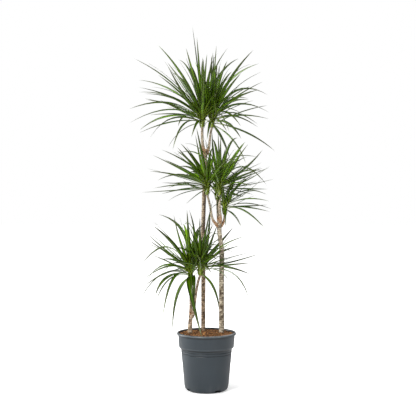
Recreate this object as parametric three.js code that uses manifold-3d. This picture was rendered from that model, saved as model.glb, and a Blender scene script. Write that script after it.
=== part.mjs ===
// A dracaena in a nursery pot: three bare canes of three heights in one pot of soil, each forking near its top
// into green-wood branches that end in a head of narrow pointed leaves.
//
// Millimetres, +Z up. The origin is the centre of the pot's flat underside, and the plant's front faces -Y.

import * as THREE from 'three';
import { OBB } from 'three/addons/math/OBB.js';
import { mergeVertices } from 'three/addons/utils/BufferGeometryUtils.js';
import Module from 'manifold-3d';

const wasm = await Module();
wasm.setup();

// ---------------------------------------------------------------------------------- driving dimensions

const up = new THREE.Vector3(0, 0, 1);
const cm = 10;
const fit = 0.3; // the gap left between two pieces that touch

// pot
const potHeight = 233;
const lipRadius = 120;
const lipDepth = 9;
const edgeBreak = 1.5; // the bevel on the lip's edges
const collarTopRadius = 115.5;
const collarFootRadius = 111.5;
const collarFootHeight = 173;
const collarBreak = 3; // the bevel on the collar's lower edge
const stepRadius = 103.5;
const stepHeight = 166;
const grooveDepth = 1.2;
const grooveHeights = [158, 148];
const grooveWidth = 3;
const lowerEdgeRadius = 89.5;
const lowerEdgeHeight = 20;
const cornerRadius = 86; // the wall where it turns under towards the foot
const cornerHeight = 7;
const footRadius = 77;
const potWall = 2.4;
const potFloor = 3;
const potSides = 28;
const drainSlots = 4;
const drainSlotTurn = 0.36; // of the way from one slot to the next, where the first one is
const drainSlotWidth = 26;
const drainSlotHeight = 8;
const drainSlotDepth = 14; // in from the lower edge, through the wall

// soil
const soilEdgeHeight = 225;
const soilEdgeDepth = 2; // how far down the soil's rim is straight
const soilCrownHeight = 231;
const soilRelief = 1.6;
const soilRipple = { across: 9, back: 11, skew: 23 };
const soilRings = 3;
const caneSink = 112; // height of the canes' lower ends, buried in the soil

// canes and branches
const caneSides = 8;
const branchSides = 6;
const shootSides = 6;
const coreHeight = 60; // of the shoot that carries a head's leaves
const shootFoot = 0.6; // how much thicker than its branch a shoot is at its foot
const shootSwell = 3.2; // and where it is thickest
const shootTaper = 3; // how much thinner its top is
const swellShare = 0.2; // of the shoot's height, where it is thickest
const shoulderShare = 0.85; // and where it is down to the branch's own radius

// blades
const bladeSegments = 5;
const bladeDepth = 1.5; // from the flat upper face down to the rib
const bladeClearance = 1.1;
const potClearance = 8;
const bladeWidths = [0.4, 1, 0.95, 0.76, 0.48]; // at each ring from root to tip, of the full width
const rollRange = [0.25, 0.9]; // radians
const rollFullAt = 0.6; // a blade has turned its whole roll by this share of its length
const reachShare = 0.45; // how far out the middle of a blade is, of its tip's reach
const crowdedShare = 0.4; // of a blade's first segment, where blades may crowd each other at the shoot
const rootShare = { level: 0.42, upright: 1.02, lowest: 0.12, highest: 0.88 }; // of the shoot's height
const setWidths = [0.94, 1.06]; // of the head's blade width

// the seeded blades of a head, from the youngest, which are the steepest, to the oldest
const seededWidths = [0.86, 1];
const seededLengths = [0.74, 1]; // of the head's reach
const seededLife = [0.25, 1.05]; // of a blade's growth, which is at its longest halfway
const seededRise = [0.04, 0.24]; // how far the middle arches, of the tip's reach
const seededFoot = 0.4; // of the shoot's height, where their length is counted from
const headingSpread = 2.1; // radians, towards the front and the back
const liftSpread = 10; // degrees
const lowest = -8; // degrees above level of the oldest blade

// how far a blade is bent at each further try: share of the sight line, radians round the shoot, and height
const tries = 40;
const sightStep = 0.0018;
const turnStep = 0.03;
const riseStep = 2;
// where the front view is taken from: a blade that has to be bent clear moves along the line of sight
const viewpoint = new THREE.Vector3(6, -3120, 735);

// ---------------------------------------------------------------------------------- materials

const potPlastic = new THREE.MeshStandardMaterial({ color: '#3f4a52', roughness: 0.45, metalness: 0 });
const soilMatter = new THREE.MeshStandardMaterial({ color: '#57392a', roughness: 1, metalness: 0 });
const bark = new THREE.MeshStandardMaterial({ color: '#b7a183', roughness: 0.9, metalness: 0 });
const leaf = new THREE.MeshStandardMaterial({ color: '#3d6b2b', roughness: 0.45, metalness: 0 });

// ---------------------------------------------------------------------------------- solids

// A closed geometry as a solid: shared corners merged, empty triangles dropped, faces turned outwards.
function toSolid(geometry) {
  const bare = geometry.clone();
  bare.deleteAttribute('normal');
  bare.deleteAttribute('uv');
  const merged = mergeVertices(bare, 1e-4);
  const index = merged.index.array;
  const position = merged.attributes.position;
  const corner = (i) => new THREE.Vector3().fromBufferAttribute(position, i);
  const faces = [];
  let volume = 0;
  for (let i = 0; i < index.length; i += 3) {
    const [a, b, c] = index.slice(i, i + 3);
    if (a !== b && b !== c && c !== a) {
      faces.push([a, b, c]);
      volume += corner(a).dot(corner(b).cross(corner(c)));
    }
  }
  const outward = volume > 0 ? faces : faces.map(([a, b, c]) => [a, c, b]);
  const vertProperties = Float32Array.from(position.array);
  const triVerts = Uint32Array.from(outward.flat());
  return new wasm.Manifold(new wasm.Mesh({ numProp: 3, vertProperties, triVerts }));
}

// The outer shell of a solid as a geometry: a hollow that joining sealed is filled, a loose scrap is dropped.
function toGeometry(solid) {
  const shells = solid.decompose();
  shells.sort((a, b) => b.volume() - a.volume());
  const mesh = shells[0].getMesh();
  const geometry = new THREE.BufferGeometry();
  geometry.setAttribute('position', new THREE.BufferAttribute(mesh.vertProperties, 3));
  geometry.setIndex(new THREE.BufferAttribute(mesh.triVerts, 1));
  geometry.computeVertexNormals();
  return geometry;
}

// A closed skin over rings of equal count. It ends in a point, or in a flat face if no tip is given.
// Every face between two rings is split the way the skin turns, so a twisted skin bulges and never pinches.
function skin(rings, tip = null, turn = 1) {
  const count = rings[0].length;
  const corners = rings.flat();
  const faces = [];
  for (let ring = 1; ring < rings.length; ring += 1) {
    for (let j = 0; j < count; j += 1) {
      const a0 = (ring - 1) * count + j;
      const b0 = (ring - 1) * count + ((j + 1) % count);
      const a1 = a0 + count;
      const b1 = b0 + count;
      if (turn > 0) {
        faces.push(a0, b0, b1, a0, b1, a1);
      } else {
        faces.push(a0, b0, a1, b0, b1, a1);
      }
    }
  }
  for (let j = 2; j < count; j += 1) {
    faces.push(0, j, j - 1);
  }
  const last = (rings.length - 1) * count;
  if (tip) {
    corners.push(tip);
    for (let j = 0; j < count; j += 1) {
      faces.push(last + j, last + ((j + 1) % count), corners.length - 1);
    }
  } else {
    for (let j = 2; j < count; j += 1) {
      faces.push(last, last + j - 1, last + j);
    }
  }
  const geometry = new THREE.BufferGeometry().setFromPoints(corners);
  geometry.setIndex(faces);
  return geometry;
}

function level(x, y, z, radius, sides) {
  const ring = [];
  for (let j = 0; j < sides; j += 1) {
    const angle = (2 * Math.PI * j) / sides;
    ring.push(new THREE.Vector3(x + radius * Math.cos(angle), y + radius * Math.sin(angle), z));
  }
  return ring;
}

// A cane, branch or shoot: a limb through stations [x, y, z, radius], round in every level cut.
function limb(stations, sides) {
  return skin(stations.map(([x, y, z, radius]) => level(x, y, z, radius, sides)));
}

// Repeatable draws between 0 and 1, by a linear congruential rule.
function draws(seed) {
  const [factor, step, period] = [1664525, 1013904223, 2 ** 32];
  let state = seed;
  return () => {
    state = (state * factor + step) % period;
    return state / period;
  };
}

// The value that share of the way between two.
function between([from, to], share) {
  return THREE.MathUtils.lerp(from, to, share);
}

// ---------------------------------------------------------------------------------- pot and soil

function lathe(profile) {
  const points = profile.map(([radius, height]) => new THREE.Vector2(radius, height));
  return new THREE.LatheGeometry(points, potSides).rotateX(Math.PI / 2);
}

// Radius of the tapering wall between the lower edge and the step under the collar.
function wallRadius(height) {
  return between([lowerEdgeRadius, stepRadius], (height - lowerEdgeHeight) / (stepHeight - lowerEdgeHeight));
}

// A ring groove cut into the tapering wall, from its upper edge to its lower one.
function groove(height) {
  return [
    [wallRadius(height + grooveWidth), height + grooveWidth],
    [wallRadius(height) - grooveDepth, height + grooveWidth / 2],
    [wallRadius(height), height],
  ];
}

const cavityRadius = {
  top: collarTopRadius - potWall,
  step: stepRadius - potWall,
  low: lowerEdgeRadius - potWall,
  floor: footRadius - potWall,
};

function makePot() {
  const lipFoot = potHeight - lipDepth;
  const profile = [
    [0, potFloor],
    [cavityRadius.floor, potFloor],
    [cavityRadius.low, lowerEdgeHeight],
    [cavityRadius.step, stepHeight + potWall],
    [collarFootRadius - potWall, collarFootHeight + potWall],
    [cavityRadius.top, lipFoot],
    [cavityRadius.top, potHeight - edgeBreak],
    [cavityRadius.top + edgeBreak, potHeight],
    [lipRadius - edgeBreak, potHeight],
    [lipRadius, potHeight - edgeBreak],
    [lipRadius, lipFoot + edgeBreak],
    [lipRadius - edgeBreak, lipFoot],
    [collarTopRadius, lipFoot],
    [collarFootRadius, collarFootHeight + collarBreak],
    [collarFootRadius - collarBreak, collarFootHeight],
    [stepRadius, stepHeight],
    ...grooveHeights.flatMap(groove),
    [lowerEdgeRadius, lowerEdgeHeight],
    [cornerRadius, cornerHeight],
    [footRadius, 0],
    [0, 0],
  ];
  const slots = [];
  for (let i = 0; i < drainSlots; i += 1) {
    const slot = new THREE.BoxGeometry(drainSlotDepth * 2, drainSlotWidth, drainSlotHeight * 2);
    slot.translate(lowerEdgeRadius, 0, 0);
    slot.rotateZ(((i + drainSlotTurn) * 2 * Math.PI) / drainSlots);
    slots.push(toSolid(slot));
  }
  return toGeometry(toSolid(lathe(profile)).subtract(wasm.Manifold.union(slots)));
}

// The soil fills the pot from its floor and is heaped a little round the canes.
function makeSoil(feet) {
  const rim = cavityRadius.top - fit;
  const profile = [
    [0, potFloor + fit],
    [cavityRadius.floor - fit, potFloor + fit],
    [cavityRadius.low - fit, lowerEdgeHeight],
    [cavityRadius.step - fit, stepHeight + potWall],
    [collarFootRadius - potWall - fit, collarFootHeight + potWall + fit],
    [rim, soilEdgeHeight - soilEdgeDepth],
  ];
  for (let i = soilRings; i >= 0; i -= 1) {
    const share = i / soilRings;
    profile.push([rim * share, between([soilCrownHeight, soilEdgeHeight], share ** 2)]);
  }
  const soil = lathe(profile);
  const position = soil.attributes.position;
  for (let i = 0; i < position.count; i += 1) {
    const [x, y, z] = [position.getX(i), position.getY(i), position.getZ(i)];
    if (z > soilEdgeHeight) {
      const across = Math.sin(x / soilRipple.across);
      const back = Math.cos(y / soilRipple.back + x / soilRipple.skew);
      position.setZ(i, z + soilRelief * across * back);
    }
  }
  const holes = feet.map(([x, y, , radius]) => {
    const bore = radius + fit / Math.cos(Math.PI / caneSides);
    return toSolid(limb([[x, y, caneSink - fit, bore], [x, y, 2 * potHeight, bore]], caneSides));
  });
  return toGeometry(toSolid(soil).subtract(wasm.Manifold.union(holes)));
}

// ---------------------------------------------------------------------------------- canes and branches

// Stations are [x, y, z, radius] from the foot up. A branch starts inside its cane, swells where it breaks
// through the bark, and its last station is the foot of its leaf head.
const canes = [
  {
    name: 'cane_tall',
    stem: [
      [-14, 45, caneSink, 8.6], [-14, 45, 240, 8.6], [-13.6, 45, 262, 8.9], [-13.5, 44, 330, 8.5],
      [-13, 42, 440, 8.8], [-14, 39, 540, 8.3], [-14.5, 36, 645, 8.6], [-12.5, 33, 710, 8.4],
      [-10.5, 31, 768, 8.5], [-8, 28, 870, 8.2], [-6.5, 25, 946, 8.6], [-6, 25, 966, 9.2],
      [-6, 25, 974, 8.6], [-6, 25, 976, 7],
    ],
    branches: [
      [
        [-8, 22, 952, 5.5], [-12.5, 18, 974, 7.2], [-15.5, 16, 992, 6.3], [-17.4, 15, 1014, 5.8],
        [-17.8, 15, 1040, 5.5], [-17.6, 15, 1065, 5.5],
      ],
      [
        [-3, 28, 948, 5.5], [4, 34, 967, 6.6], [10, 38, 984, 5.7], [13, 40, 1014, 5],
        [17, 40, 1044, 4.8], [22, 40, 1067, 4.8],
      ],
    ],
  },
  {
    name: 'cane_medium',
    stem: [
      [61, 4, caneSink, 10.6], [61, 4, 240, 10.6], [61, 4, 256, 11.1], [61, 4, 330, 10.5],
      [61, 4, 443, 10.2], [62.3, 3, 540, 9.8], [61.5, 3, 568, 9.7], [58.5, 2, 591, 9.4],
      [54.5, 2, 614, 9.2], [52, 1, 642, 9.3], [51.5, 0, 664, 9.8], [52, 0, 680, 10],
      [52, 0, 686, 9.4], [52, 0, 688, 7.5],
    ],
    branches: [
      [
        [45, -3, 658, 6], [37, -8, 673, 7], [27, -14, 684, 6], [21, -18, 700, 5.2],
        [15.5, -22, 738, 4.6], [8, -24, 770, 4.6], [2, -25, 789, 4.8],
      ],
      [
        [53, -3, 670, 6], [57, -8, 690, 6.3], [54, -12, 719, 5.6], [51.5, -14, 748, 5.2],
        [53.5, -15, 772, 5.2], [54, -15, 787, 5.2],
      ],
      [
        [50, 6, 668, 5], [47, 16, 696, 5.2], [44.5, 30, 733, 4.3], [44, 42, 756, 4.3],
        [44, 45, 770, 4.4],
      ],
      [
        [58, 4, 656, 5.4], [67, 7, 673, 5.6], [73, 9, 690, 4.7], [74, 10, 711, 4.5],
      ],
    ],
  },
  {
    name: 'cane_short',
    stem: [
      [-67, -8, caneSink, 9.2], [-67, -8, 240, 9.2], [-66.4, -8, 262, 9], [-64.5, -8, 288, 8.3],
      [-63.5, -8, 303, 8], [-63.3, -8, 309, 7.8], [-63, -8, 311, 6.2],
    ],
    branches: [
      [
        [-64, -4, 294, 5.4], [-64, 0, 314, 6.5], [-63.7, -2, 340, 5.8], [-64, -4, 380, 5.4],
        [-64.8, -5, 425, 5.4], [-65, -5, 448, 5.4],
      ],
      [
        [-58, -12, 290, 5.4], [-52.5, -17, 316, 6.7], [-48.5, -22, 345, 5.8], [-45.5, -27, 372, 5.9],
        [-40.5, -31, 404, 5.2], [-33, -34, 442, 5.2], [-25, -35, 467, 5.2],
      ],
    ],
  },
];

function makeCane({ stem, branches }) {
  const limbs = [toSolid(limb(stem, caneSides))];
  for (const branch of branches) {
    limbs.push(toSolid(limb(branch, branchSides)));
  }
  return toGeometry(wasm.Manifold.union(limbs));
}

// ---------------------------------------------------------------------------------- leaf heads

// Each head stands on a branch. Its front leaves are set by hand: where the tip is from the head's foot, as
// [across, back, up], how far the blade's middle arches above a straight line, and, where it does, how far it
// also bows aside, all in centimetres.
// "more" leaves fill the head towards the front and the back, each drawn from the head's own seed.
const heads = [
  {
    name: 'head_tall_left', on: [0, 0], width: 12.2, reach: 290, more: 30, steepest: 80, seed: 11,
    set: [
      [-4, 0, 41, 0], [-2, -12, 34, 0], [-17, -16, 30, 2], [-28, 0, 28, 2], [-21, -17, 23, 2],
      [-27, 11, 21, 3], [-19, -21, 13, 3], [-24, -20, 13, 2], [-27, 12, 16, 5], [-28, -18, 5, 7],
      [-24, 13, 13, 1], [-31, 13, 3, 6], [-24, -17, -3, 4, -2], [-27, 15, -1, 2, -1],
      [-20, -21, -7, 7, -3], [-15, 20, -7, 2, -2], [-11, -22, -11, 5, -2], [-9, -21, -2, 2, -2],
      [-4, -19, -6, 3], [-23, 18, 7, 2], [-10, 16, 30, 0, 1], [-6, -22, 24, 1], [-7, 13, 35, 0],
      [-15, 14, 29, 0], [-13, -22, 21, 0], [-13, 16, 25, 0], [-9, -22, 20, 1], [-4, -22, 21, 1],
      [1, -23, 21, 1], [-16, -22, 8, 2],
    ],
  },
  {
    name: 'head_tall_right', on: [0, 1], width: 11.8, reach: 285, more: 32, steepest: 80, seed: 23,
    set: [
      [2, 11, 36, 0], [-1, -23, 18, 1, -2], [6, -22, 28, 1, -3], [2, -24, 22, 1], [4, 20, 25, 0],
      [8, 19, 28, 0], [16, -18, 28, 2], [20, 10, 28, 3, -2], [11, -24, 18, 1], [13, 20, 21, 2, -1],
      [19, -21, 19, 1], [17, 19, 20, 1], [18, -22, 12, 2], [14, -23, 8, 3], [25, 17, 8, 5],
      [22, -20, 1, 2, 1], [11, -22, -2, 5], [13, 21, -3, 3, 1], [13, -19, -16, 2, 2],
      [27, 12, -9, 2, 2], [8, 21, -12, 1, 1], [-2, -19, -7, 3], [8, -21, -1, 0], [22, 14, 21, 1],
    ],
  },
  {
    name: 'head_medium_left', on: [1, 0], width: 11.6, reach: 250, more: 22, steepest: 42, seed: 37,
    set: [
      [-4, -19, 25, 0], [-5, 17, 26, 0], [-8, 17, 24, 1, 2], [-10, -20, 19, 1], [-9, 18, 21, 1, 2],
      [-19, 12, 19, 4, 2], [-13, -20, 16, 1], [-13, 17, 19, 1], [-21, -14, 15, 0], [-18, 15, 15, 2],
      [-25, 9, 11, 0], [-19, -16, 5, 4, -1], [-12, -19, 7, 4], [-15, -19, 2, 2], [-16, 19, 5, 1],
      [-9, -18, 5, 1], [-27, 7, 1, 0], [-15, -19, -3, 2, -2], [-8, -18, -4, 1],
    ],
  },
  {
    name: 'head_medium_middle', on: [1, 1], width: 11.6, reach: 240, more: 22, steepest: 66, seed: 43,
    set: [
      [-3, 16, 27, 0, -1], [-1, -18, 24, 0], [0, -19, 22, 0], [6, -21, 16, 0], [11, 15, 23, 0],
      [7, 18, 20, 0], [7, -20, 12, 0], [16, -17, 17, -1, 2], [18, 14, 14, 0], [16, -17, 10, 1],
      [19, -16, 11, -1], [23, 11, 7, -1], [18, -17, 2, 0, 1], [12, -19, 3, 2], [9, -18, -1, 1],
      [10, 18, 2, -4],
    ],
  },
  {
    name: 'head_medium_back', on: [1, 2], width: 11.2, reach: 235, more: 20, steepest: 54, seed: 53,
    set: [
      [18, 17, 11, 0], [13, 12, 15, 0], [-5, 16, 25, 0], [4, 18, 23, 0], [-12, 20, 12, 0],
    ],
  },
  {
    name: 'head_medium_right', on: [1, 3], width: 11, reach: 215, more: 14, steepest: 56, seed: 61,
    set: [
      [17, -16, 5, 2], [20, 13, 2, 2], [17, -16, 1, 1], [18, 16, -7, 4], [6, -16, -5, 1, 1],
      [0, -14, -5, 2], [11, -18, 9, 1], [11, 16, 13, 1], [6, -17, 15, 0], [4, 16, 18, 0, 1],
    ],
  },
  {
    name: 'head_short_left', on: [2, 0], width: 11.6, reach: 250, more: 20, steepest: 78, seed: 71,
    set: [
      [-1, 18, 28, 0, 2], [-1, -16, 28, 0], [-2, 19, 22, 0], [-6, -17, 26, 0, -1],
      [-14, 15, 26, 1, 3], [-16, 14, 23, 2, 2], [-14, -17, 22, 2], [-20, 15, 14, 1],
      [-21, 17, 5, 8], [-18, -18, 1, 4], [-20, 15, -4, 6, -2], [-17, -18, -1, 3],
      [-22, 13, -11, 6, -2], [-13, -19, -5, 3, -3], [-15, 17, -11, 4, -2], [-10, -22, -13, 9, -2],
      [-8, 14, -24, 2, -2], [5, -15, -22, 6, -2], [1.2, -12, -11, 4, 1], [1, -16, -5, 2],
    ],
  },
  {
    name: 'head_short_right', on: [2, 1], width: 11.6, reach: 245, more: 20, steepest: 70, seed: 83,
    set: [
      [5, -16, 30, 0], [4, 20, 26, 0, 1], [0, -19, 23, 0], [6, 20, 17, 0], [6, -20, 18, 0],
      [7, 20, 19, 1], [8, -18, 10, 0], [14, 17, 17, 0], [17, -16, 16, 2], [17, 16, 11, 2],
      [13, -17, 10, 1], [25, 11, 8, 1], [20, -15, 6, 0, 1], [21, 13, -1, 1], [19, -14, -9, 5, 4],
      [11, -18, -1, 1, 2], [8, 13, -18, 2, 2],
    ],
  },
];

// The shoot that carries a head's leaves, as thick as the pale leaf bases that wrap it.
function shootStations([x, y, z, radius]) {
  return [
    [x, y, z + fit, radius + shootFoot],
    [x, y, z + swellShare * coreHeight, radius + shootSwell],
    [x, y, z + shoulderShare * coreHeight, radius],
    [x, y, z + coreHeight, radius - shootTaper],
  ];
}

// Leaves that hang come from low on the shoot, upright ones from its top.
function rootOf(foot, tip) {
  const outward = Math.hypot(tip.x - foot[0], tip.y - foot[1]);
  const steepness = Math.atan2(tip.z - foot[2], outward) / (Math.PI / 2);
  const wanted = between([rootShare.level, rootShare.upright], steepness);
  const share = THREE.MathUtils.clamp(wanted, rootShare.lowest, rootShare.highest);
  return new THREE.Vector3(foot[0], foot[1], foot[2] + share * coreHeight);
}

// The rings of one blade, from root to tip: a centre, the direction across it, the face's normal, and a width.
function bladeStations({ root, tip, rise, bow, roll, width }) {
  const middle = root.clone().lerp(tip, reachShare);
  middle.x += bow;
  middle.z = (root.z + tip.z) / 2 + rise;
  const control = middle.multiplyScalar(2).sub(root.clone().add(tip).multiplyScalar(0.5));
  const line = new THREE.QuadraticBezierCurve3(root, control, tip);
  const flat = new THREE.Vector3().crossVectors(up, tip.clone().sub(root)).normalize();
  return bladeWidths.map((share, ring) => {
    const along = ring / bladeSegments;
    const tangent = line.getTangent(along);
    const normal = new THREE.Vector3().crossVectors(tangent, flat).normalize();
    normal.applyAxisAngle(tangent, roll * Math.min(1, along / rollFullAt));
    const side = new THREE.Vector3().crossVectors(normal, tangent);
    return { centre: line.getPoint(along), side, normal, width: width * share };
  });
}

// A blade's solid: a flat upper face, a rib along the underside and a pointed tip.
function makeBlade(blade, stations) {
  const rings = stations.map(({ centre, side, normal, width }) => [
    centre.clone().addScaledVector(side, -width / 2),
    centre.clone().addScaledVector(side, width / 2),
    centre.clone().addScaledVector(normal, -bladeDepth),
  ]);
  return toSolid(skin(rings, blade.tip, blade.roll));
}

// A box round one straight piece between two points, thick enough to keep neighbours clear of it.
function boxBetween(from, to, side, halfWidth, halfDepth) {
  const along = to.clone().sub(from);
  const halfLength = along.length() / 2 + bladeClearance / 2;
  along.normalize();
  const normal = new THREE.Vector3().crossVectors(along, side).normalize();
  const across = new THREE.Vector3().crossVectors(normal, along);
  const centre = from.clone().lerp(to, 0.5);
  const turned = new THREE.Matrix3().setFromMatrix4(new THREE.Matrix4().makeBasis(along, across, normal));
  const box = new OBB(centre, new THREE.Vector3(halfLength, halfWidth, halfDepth), turned);
  box.reach = box.halfSize.length();
  return box;
}

function bladeBoxes(blade, stations) {
  const boxes = [];
  stations.forEach((from, ring) => {
    const to = stations[ring + 1] ?? { centre: blade.tip, side: from.side, width: 0 };
    const side = from.side.clone().add(to.side);
    const halfWidth = (Math.max(from.width, to.width) + bladeClearance) / 2;
    boxes.push(boxBetween(from.centre, to.centre, side, halfWidth, bladeDepth + bladeClearance / 2));
  });
  return boxes;
}

// The boxes that are held clear of the same head's blades: all but the part that crowds at the shoot.
function freeBoxes([first, second], boxes) {
  const start = first.centre.clone().lerp(second.centre, crowdedShare);
  const halfWidth = (second.width + bladeClearance) / 2;
  return [boxBetween(start, second.centre, second.side, halfWidth, bladeDepth), ...boxes.slice(1)];
}

function limbBoxes(stations) {
  const boxes = [];
  const across = new THREE.Vector3(1, 0, 0);
  for (let i = 1; i < stations.length; i += 1) {
    const [from, to] = [stations[i - 1], stations[i]];
    const half = Math.max(from[3], to[3]) + bladeClearance;
    boxes.push(boxBetween(new THREE.Vector3(...from), new THREE.Vector3(...to), across, half, half));
  }
  return boxes;
}

function crossings(boxes, others) {
  let found = 0;
  for (const box of boxes) {
    for (const other of others) {
      const near = box.center.distanceTo(other.center) < box.reach + other.reach;
      if (near && box.intersectsOBB(other)) {
        found += 1;
      }
    }
  }
  return found;
}

// Whether a blade would dip into the pot or its soil.
function hitsPot(blade, stations) {
  const ends = [...stations.map(({ centre }) => centre), blade.tip];
  return ends.some((end, i) => {
    const next = ends[i + 1] ?? end;
    return [0, 0.25, 0.5, 0.75].some((share) => {
      const point = end.clone().lerp(next, share);
      return point.z < potHeight + potClearance && Math.hypot(point.x, point.y) < lipRadius + potClearance;
    });
  });
}

// The leaves of one head before any is bent clear: those set by hand, then the seeded ones.
function headLeaves(head, foot) {
  const draw = draws(head.seed);
  const origin = new THREE.Vector3(...foot);
  const leaves = [];
  const roll = () => (draw() < 0.5 ? -1 : 1) * between(rollRange, draw());
  for (const [across, back, high, arch, aside = 0] of head.set) {
    const tip = origin.clone().add(new THREE.Vector3(across, back, high).multiplyScalar(cm));
    const width = head.width * between(setWidths, draw());
    leaves.push({ tip, rise: arch * cm, bow: aside * cm, roll: roll(), width, set: true });
  }
  for (let i = 0; i < head.more; i += 1) {
    const age = (i + 0.5) / head.more;
    const front = i % 2 === 0 ? -1 : 1;
    const heading = front * (Math.PI / 2) + (draw() - 0.5) * headingSpread;
    const degrees = between([head.steepest, lowest], age) + (draw() - 0.5) * liftSpread;
    const lift = THREE.MathUtils.degToRad(degrees);
    const grown = Math.sin(Math.PI * Math.min(1, between(seededLife, age)));
    const length = head.reach * between(seededLengths, grown);
    const outward = length * Math.cos(lift);
    const tip = new THREE.Vector3(outward * Math.cos(heading), outward * Math.sin(heading), length * Math.sin(lift));
    tip.add(origin);
    tip.z += seededFoot * coreHeight;
    const width = head.width * between(seededWidths, draw());
    leaves.push({ tip, rise: outward * between(seededRise, age), bow: 0, roll: roll(), width, set: false });
  }
  return leaves;
}

// The same leaf bent a little further each time: along the line of sight, or round the shoot.
function bentLeaf(leafAsSet, foot, attempt) {
  const step = Math.ceil(attempt / 2) * (attempt % 2 ? 1 : -1);
  const bent = { ...leafAsSet, tip: leafAsSet.tip.clone() };
  if (leafAsSet.set) {
    bent.tip.sub(viewpoint).multiplyScalar(1 + sightStep * step).add(viewpoint);
    bent.rise += riseStep * step;
  } else {
    const origin = new THREE.Vector3(...foot);
    bent.tip.sub(origin).applyAxisAngle(up, turnStep * step).add(origin);
    bent.rise += riseStep * step;
  }
  bent.root = rootOf(foot, bent.tip);
  return bent;
}

// All blades of all heads, each bent clear of the canes, the pot and the other heads' blades, and as far as it
// can be of its own head's. A leaf with no clear place is left out.
function placeBlades() {
  const woods = canes.flatMap(({ stem, branches }) => [stem, ...branches].flatMap(limbBoxes));
  const placed = heads.map(({ on: [cane, branch] }) => {
    const foot = canes[cane].branches[branch].at(-1);
    return { foot, shoot: limbBoxes(shootStations(foot)), blades: [], boxes: [], free: [] };
  });
  for (const setByHand of [true, false]) {
    heads.forEach((head, index) => {
      const own = placed[index];
      const others = placed.filter((place) => place !== own).flatMap(({ shoot, boxes }) => [...shoot, ...boxes]);
      for (const asSet of headLeaves(head, own.foot).filter(({ set }) => set === setByHand)) {
        let best = null;
        for (let attempt = 0; attempt < tries && !(best?.touches === 0); attempt += 1) {
          const blade = bentLeaf(asSet, own.foot, attempt);
          const stations = bladeStations(blade);
          const boxes = bladeBoxes(blade, stations);
          if (!hitsPot(blade, stations) && crossings(boxes, woods) + crossings(boxes, others) === 0) {
            const free = freeBoxes(stations, boxes);
            const touches = crossings(free, own.free);
            if (!best || touches < best.touches) {
              best = { blade, stations, boxes, free, touches };
            }
          }
        }
        if (best) {
          own.blades.push(makeBlade(best.blade, best.stations));
          own.boxes.push(...best.boxes);
          own.free.push(...best.free);
        }
      }
    });
  }
  return placed;
}

// ---------------------------------------------------------------------------------- the plant

const plant = new THREE.Group();

function addPiece(name, geometry, material) {
  const piece = new THREE.Mesh(geometry, material);
  piece.name = name;
  plant.add(piece);
}

addPiece('pot', makePot(), potPlastic);
addPiece('potting_soil', makeSoil(canes.map(({ stem }) => stem[0])), soilMatter);
for (const cane of canes) {
  addPiece(cane.name, makeCane(cane), bark);
}
placeBlades().forEach(({ foot, blades }, index) => {
  const shoot = toSolid(limb(shootStations(foot), shootSides));
  addPiece(heads[index].name, toGeometry(wasm.Manifold.union([shoot, ...blades])), leaf);
});

export default plant;
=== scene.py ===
"""A dracaena in a nursery pot, dressed round its CAD frame.

The pot, soil, canes and leaf heads of the frame are each stood for by a finer piece of the same form, with
its finish, and a plain studio is set up round them. Metres, +Z up, the plant's front towards -Y.
"""

import math
import random
from itertools import combinations

import bmesh
import bpy
from bpy.props import FloatProperty, FloatVectorProperty, IntProperty, PointerProperty
from bpy.types import Operator, Panel, PropertyGroup
from mathutils import Matrix, Vector, kdtree, noise


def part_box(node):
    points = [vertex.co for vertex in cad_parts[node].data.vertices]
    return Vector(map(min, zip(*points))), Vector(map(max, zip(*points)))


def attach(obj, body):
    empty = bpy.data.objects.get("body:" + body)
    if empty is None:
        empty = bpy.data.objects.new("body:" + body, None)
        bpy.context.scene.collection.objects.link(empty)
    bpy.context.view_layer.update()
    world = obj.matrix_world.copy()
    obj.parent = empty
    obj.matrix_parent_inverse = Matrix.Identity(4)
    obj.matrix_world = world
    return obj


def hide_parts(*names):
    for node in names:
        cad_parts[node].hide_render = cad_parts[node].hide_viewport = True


bl_info = {
    "name": "Potted Dracaena",
    "version": (1, 0, 0),
    "blender": (4, 5, 0),
    "location": "View3D > Sidebar > Dracaena",
    "description": "Builds the pot, soil, canes, leaves and studio of a potted dracaena round its CAD frame",
    "category": "Object",
}

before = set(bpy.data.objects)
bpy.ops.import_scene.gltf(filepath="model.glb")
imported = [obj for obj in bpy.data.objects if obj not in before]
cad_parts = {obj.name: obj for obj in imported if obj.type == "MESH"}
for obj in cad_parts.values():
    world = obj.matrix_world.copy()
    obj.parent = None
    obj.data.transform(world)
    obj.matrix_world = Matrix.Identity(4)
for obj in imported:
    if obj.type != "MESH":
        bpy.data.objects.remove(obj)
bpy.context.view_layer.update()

MM = 0.001
UP = Vector((0, 0, 1))
POT_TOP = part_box("pot")[1]
SOIL_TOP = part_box("potting_soil")[1]

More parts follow.
